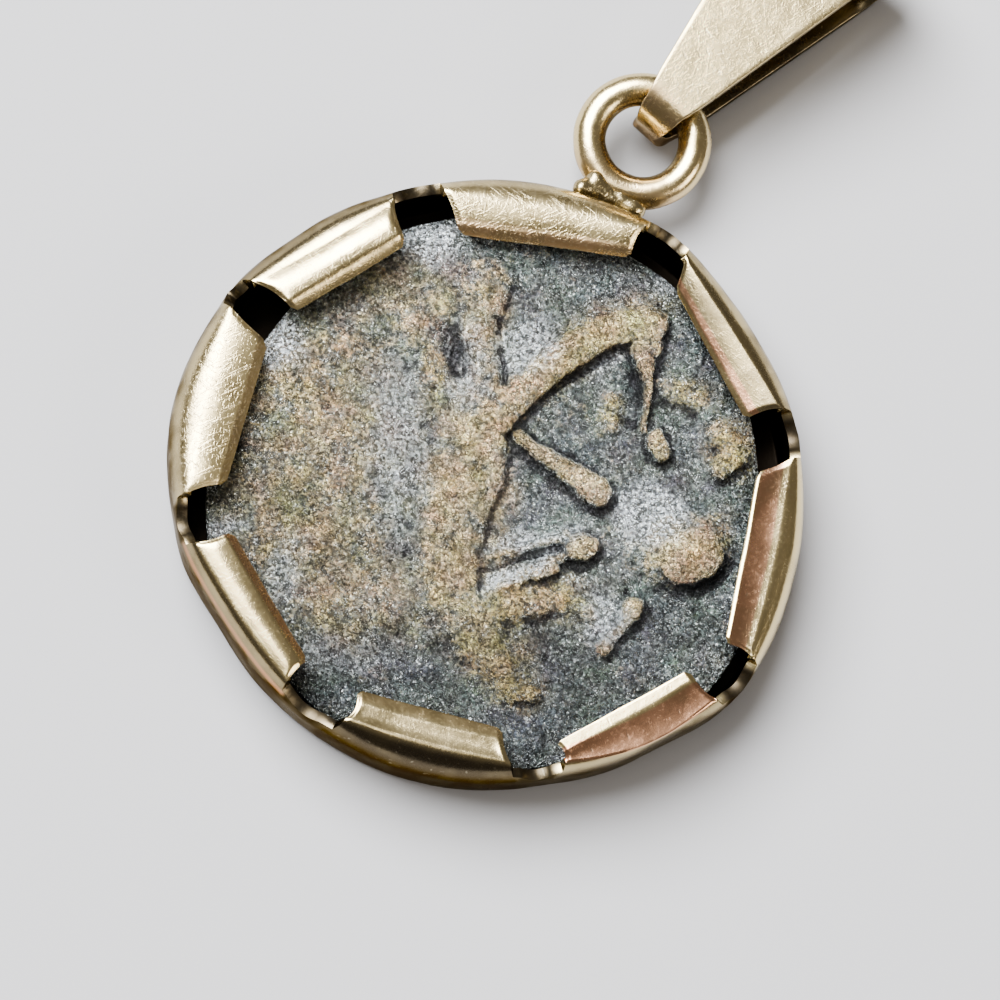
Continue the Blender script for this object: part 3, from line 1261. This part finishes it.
def threads(fineness, width, distortion):
    """Bright curly lines where a noise passes one half."""
    lumps = noise_value(tree, place, fineness, detail=2.0, roughness=0.6, distortion=distortion)
    apart = calculate(tree, "ABSOLUTE", calculate(tree, "SUBTRACT", lumps, 0.5))
    return remap(tree, apart, 0.0, width, 1.0, 0.0)


wide_threads = product_of(tree, threads(5.0, 0.042, 1.0), 0.6)
narrow_threads = product_of(tree, threads(9.5, 0.052, 0.8), 0.6)
bright_threads = sum_of(tree, wide_threads, narrow_threads)
print("nodes for the noises:", len(tree.nodes))

# %% Field, worn places and stains
FIELD_BLUE = (0.18, 0.2, 0.216, 1)
FIELD_GREEN = (0.195, 0.236, 0.206, 1)
TAUPE = (0.58, 0.475, 0.315, 1)
SAND = (1.0, 0.77, 0.46, 1)
YELLOW_DIRT = (0.86, 0.71, 0.32, 1)
mottled = remap(tree, mottle, 0.3, 0.7, -0.15, 0.15)
grainy = remap(tree, grain, 0.3, 0.7, -0.07, 0.07)
broken = sum_of(tree, attribute(tree, "height"), mottled, grainy)
warm = product_of(tree, attribute(tree, "warm"), remap(tree, patches, 0.38, 0.56, 0.25, 1.1))
spots = product_of(tree, remap(tree, mottle, 0.55, 0.68), product_of(tree, warm, 0.35))
dirt = product_of(tree, attribute(tree, "yellow"), remap(tree, broken, -0.05, 0.25, 0.25, 1.0))
yellow = sum_of(tree, dirt, spots)
worn = product_of(tree, remap(tree, broken, 0.1, 0.42), remap(tree, warm, 0.0, 0.6, 0.7, 1.0))
worn = sum_of(tree, worn, remap(tree, bulge, 0.015, 0.06, 0.0, 0.3))
field = blend_colour(tree, remap(tree, cloud, 0.35, 0.65), FIELD_BLUE, FIELD_GREEN)
taupe = blend_colour(tree, warm, field, TAUPE)
sandy = blend_colour(tree, worn, taupe, SAND)
stained = blend_colour(tree, yellow, sandy, YELLOW_DIRT)
print("nodes with the stains:", len(tree.nodes))

# %% [markdown]
# ### Pits and threads
# A second noise with its own colours shifts the hue from place to place. Hollows and fine pits are then
# darkened by multiplying, which keeps the colour under them. The threads come on top, because on the real
# coin they are the part that still shines.

# %% Pits, threads and specks
HUE_SWING, HUE_LEAST = (0.6, 0.6, 0.6), (0.7, 0.7, 0.7)
HOLLOW = (0.035, 0.03, 0.037, 1)
PALE_THREAD = (0.86, 0.92, 0.91, 1)
CREAM_THREAD = (0.98, 0.88, 0.64, 1)
hues = add_node(tree, "ShaderNodeTexNoise", Vector=place, Scale=1.1, Detail=3.0, Roughness=0.6)
tint = add_node(tree, "ShaderNodeVectorMath", {"operation": "MULTIPLY_ADD"}, _0=hues.outputs["Color"],
                _1=HUE_SWING, _2=HUE_LEAST).outputs[0]
varied = blend_colour(tree, 1.0, stained, tint, "MULTIPLY")
hollow = blend_colour(tree, remap(tree, broken, -0.3, -0.08, 0.7, 0.0), varied, HOLLOW)
fine_pits = remap(tree, grain, 0.39, 0.55, 0.2, 1.0)
broad_pits = remap(tree, mottle, 0.36, 0.5, 0.65, 1.0)
pits = calculate(tree, "MAXIMUM", product_of(tree, fine_pits, broad_pits), product_of(tree, warm, 0.55))
pits = product_of(tree, pits, blotches)
grey_pits = add_node(tree, "ShaderNodeCombineColor", Red=pits, Green=pits, Blue=pits).outputs[0]
pitted = blend_colour(tree, 1.0, hollow, grey_pits, "MULTIPLY")

crystals = add_node(tree, "ShaderNodeTexVoronoi", {"feature": "F1"}, Vector=place, Scale=17.0)
crystal_grey = add_node(tree, "ShaderNodeSeparateColor", Color=crystals.outputs["Color"]).outputs[0]
specks = product_of(tree, remap(tree, crystal_grey, 0.88, 0.96), 0.6)
cream = sum_of(tree, product_of(tree, warm, 0.7), worn)
thread_colour = blend_colour(tree, remap(tree, cream, 0.0, 1.0), PALE_THREAD, CREAM_THREAD)
shine = remap(tree, sum_of(tree, bright_threads, specks), 0.18, 0.75, 0.0, 0.95)
shine = product_of(tree, shine, remap(tree, warm, 0.0, 1.0, 1.0, 0.65), blotches)
threaded = blend_colour(tree, shine, pitted, thread_colour)
print("nodes with the threads:", len(tree.nodes))

# %% [markdown]
# ### Sheen, crevices and gloss
# Last come the cool places that catch the window, the dark stains and the dirt at the foot of the strokes. A
# little less than full metal keeps the patina from turning into a mirror, and the same grain goes into
# roughness and bump.

# %% Finish the bronze and the coin
WINDOW_SHEEN = (0.9, 0.96, 1.0, 1)
CREVICE = (0.025, 0.022, 0.026, 1)
BRONZE_RELIEF = 0.12  # height of the bump in millimetres
cool = product_of(tree, attribute(tree, "cool"), remap(tree, grain, 0.42, 0.58, 0.08, 1.0))
sheen = blend_colour(tree, product_of(tree, cool, 1.1), threaded, WINDOW_SHEEN)
dark = product_of(tree, attribute(tree, "dark"), remap(tree, patches, 0.35, 0.6, 0.7, 1.0))
ragged_bulge = sum_of(tree, bulge, remap(tree, mottle, 0.3, 0.7, -0.015, 0.015))
foot = remap(tree, ragged_bulge, -0.065, -0.018, 0.8, 0.0)
darkened = blend_colour(tree, calculate(tree, "MAXIMUM", dark, foot), sheen, CREVICE)
rough = remap(tree, grain, 0.3, 0.7, 0.17, 0.32)
set_shader(tree, shader, Base_Color=darkened, Metallic=0.75, Roughness=rough, Specular_IOR_Level=0.9)
relief = sum_of(tree, product_of(tree, grain, 0.7), product_of(tree, bright_threads, 0.5))
set_relief(tree, shader, relief, BRONZE_RELIEF)
print("bronze made with", len(tree.nodes), "nodes")
make_piece(coin, "coin_disc", "coin", [bronze])
